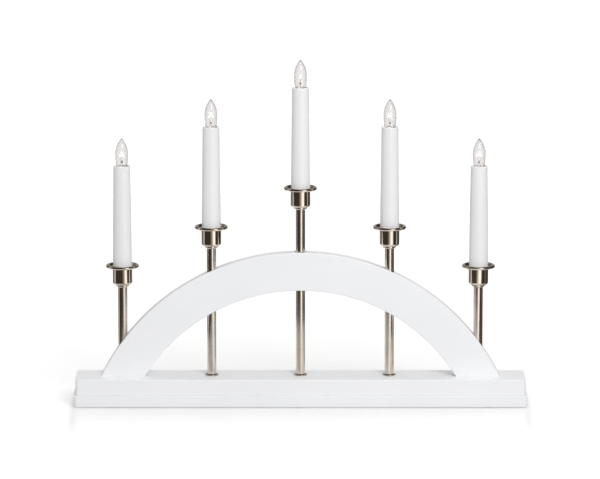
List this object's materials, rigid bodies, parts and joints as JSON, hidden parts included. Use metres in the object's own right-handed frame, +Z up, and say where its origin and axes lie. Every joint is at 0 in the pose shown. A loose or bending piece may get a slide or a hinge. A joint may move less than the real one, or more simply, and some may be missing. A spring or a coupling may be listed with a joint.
{
  "type": "electric candelabrum",
  "caption": "Window candelabrum: electric candles with screw bulbs on slim tubes, stepped up to the middle over a flat arch, on a long low layered base.",
  "frame": {"origin": "under the middle of the base, on the surface that the felt pads stand on", "axes": "+X along the base to the right, +Y from the front to the back edge with the flex inlet, +Z up"},
  "size_m": [0.495, 0.054, 0.3795],
  "materials": {
    "white_paint": "satin white paint on wood",
    "nickel": "bright nickel plate",
    "steel": "zinc-plated",
    "brass": "plain",
    "candle_plastic": "smooth moulded, slightly glossy",
    "holder_plastic": "moulded",
    "block_plastic": "moulded",
    "black_glass": "insulator at the foot of the cap",
    "bulb_cap_metal": "plated",
    "bulb_glass": "clear",
    "filament_wire": "lit wire",
    "felt": "pressed felt",
    "grommet_rubber": "moulded",
    "wire_insulation": "extruded"
  },
  "bodies": {
    "root": {"lower_board": "white_paint", "upper_board": "white_paint", "arch": "white_paint", "board_screws": "steel", "arch_screws": "steel", "felt_pads": "felt", "cord_grommet": "grommet_rubber", "terminal_block": "block_plastic", "wiring": "wire_insulation", "tube_1": "nickel", "tube_2": "nickel", "tube_3": "nickel", "tube_4": "nickel", "tube_5": "nickel", "tube_flanges": "nickel", "tube_washers": "steel", "tube_nuts": "steel", "cup_1": "nickel", "cup_2": "nickel", "cup_3": "nickel", "cup_4": "nickel", "cup_5": "nickel", "cup_collars": "nickel", "cup_nuts": "steel", "riser_tubes": "holder_plastic", "lamp_holder_1": "holder_plastic", "lamp_holder_2": "holder_plastic", "lamp_holder_3": "holder_plastic", "lamp_holder_4": "holder_plastic", "lamp_holder_5": "holder_plastic", "screw_shells": "brass", "centre_contacts": "brass"},
    "sleeve_1": {"candle_sleeve_1": "candle_plastic"},
    "bulb_lift_1": {"bulb_tip_1": "black_glass"},
    "bulb_1": {"bulb_cap_1": "bulb_cap_metal", "bulb_glass_1": "bulb_glass", "filament_1": "filament_wire"},
    "sleeve_2": {"candle_sleeve_2": "candle_plastic"},
    "bulb_lift_2": {"bulb_tip_2": "black_glass"},
    "bulb_2": {"bulb_cap_2": "bulb_cap_metal", "bulb_glass_2": "bulb_glass", "filament_2": "filament_wire"},
    "sleeve_3": {"candle_sleeve_3": "candle_plastic"},
    "bulb_lift_3": {"bulb_tip_3": "black_glass"},
    "bulb_3": {"bulb_cap_3": "bulb_cap_metal", "bulb_glass_3": "bulb_glass", "filament_3": "filament_wire"},
    "sleeve_4": {"candle_sleeve_4": "candle_plastic"},
    "bulb_lift_4": {"bulb_tip_4": "black_glass"},
    "bulb_4": {"bulb_cap_4": "bulb_cap_metal", "bulb_glass_4": "bulb_glass", "filament_4": "filament_wire"},
    "sleeve_5": {"candle_sleeve_5": "candle_plastic"},
    "bulb_lift_5": {"bulb_tip_5": "black_glass"},
    "bulb_5": {"bulb_cap_5": "bulb_cap_metal", "bulb_glass_5": "bulb_glass", "filament_5": "filament_wire"}
  },
  "joints": [
    {"name": "sleeve_1_lift", "type": "slide", "parent": "root", "child": "sleeve_1", "axis": [0, 0, 1], "range_m": [0, 0.16]},
    {"name": "bulb_1_rise", "type": "slide", "parent": "root", "child": "bulb_lift_1", "axis": [0, 0, 1], "range_m": [0, 0.00635]},
    {"name": "bulb_1_turn", "type": "hinge", "parent": "bulb_lift_1", "child": "bulb_1", "pos_m": [-0.194, 0, 0.2525], "axis": [0, 0, 1], "range_deg": [0, 1260]},
    {"name": "sleeve_2_lift", "type": "slide", "parent": "root", "child": "sleeve_2", "axis": [0, 0, 1], "range_m": [0, 0.16]},
    {"name": "bulb_2_rise", "type": "slide", "parent": "root", "child": "bulb_lift_2", "axis": [0, 0, 1], "range_m": [0, 0.00635]},
    {"name": "bulb_2_turn", "type": "hinge", "parent": "bulb_lift_2", "child": "bulb_2", "pos_m": [-0.097, 0, 0.2955], "axis": [0, 0, 1], "range_deg": [0, 1260]},
    {"name": "sleeve_3_lift", "type": "slide", "parent": "root", "child": "sleeve_3", "axis": [0, 0, 1], "range_m": [0, 0.16]},
    {"name": "bulb_3_rise", "type": "slide", "parent": "root", "child": "bulb_lift_3", "axis": [0, 0, 1], "range_m": [0, 0.00635]},
    {"name": "bulb_3_turn", "type": "hinge", "parent": "bulb_lift_3", "child": "bulb_3", "pos_m": [0, 0, 0.3385], "axis": [0, 0, 1], "range_deg": [0, 1260]},
    {"name": "sleeve_4_lift", "type": "slide", "parent": "root", "child": "sleeve_4", "axis": [0, 0, 1], "range_m": [0, 0.16]},
    {"name": "bulb_4_rise", "type": "slide", "parent": "root", "child": "bulb_lift_4", "axis": [0, 0, 1], "range_m": [0, 0.00635]},
    {"name": "bulb_4_turn", "type": "hinge", "parent": "bulb_lift_4", "child": "bulb_4", "pos_m": [0.097, 0, 0.2955], "axis": [0, 0, 1], "range_deg": [0, 1260]},
    {"name": "sleeve_5_lift", "type": "slide", "parent": "root", "child": "sleeve_5", "axis": [0, 0, 1], "range_m": [0, 0.16]},
    {"name": "bulb_5_rise", "type": "slide", "parent": "root", "child": "bulb_lift_5", "axis": [0, 0, 1], "range_m": [0, 0.00635]},
    {"name": "bulb_5_turn", "type": "hinge", "parent": "bulb_lift_5", "child": "bulb_5", "pos_m": [0.194, 0, 0.2525], "axis": [0, 0, 1], "range_deg": [0, 1260]}
  ],
  "couplings": [
    {"joint": "bulb_1_rise", "follows": "bulb_1_turn", "m_per_rad": 0.0002887},
    {"joint": "bulb_2_rise", "follows": "bulb_2_turn", "m_per_rad": 0.0002887},
    {"joint": "bulb_3_rise", "follows": "bulb_3_turn", "m_per_rad": 0.0002887},
    {"joint": "bulb_4_rise", "follows": "bulb_4_turn", "m_per_rad": 0.0002887},
    {"joint": "bulb_5_rise", "follows": "bulb_5_turn", "m_per_rad": 0.0002887}
  ]
}
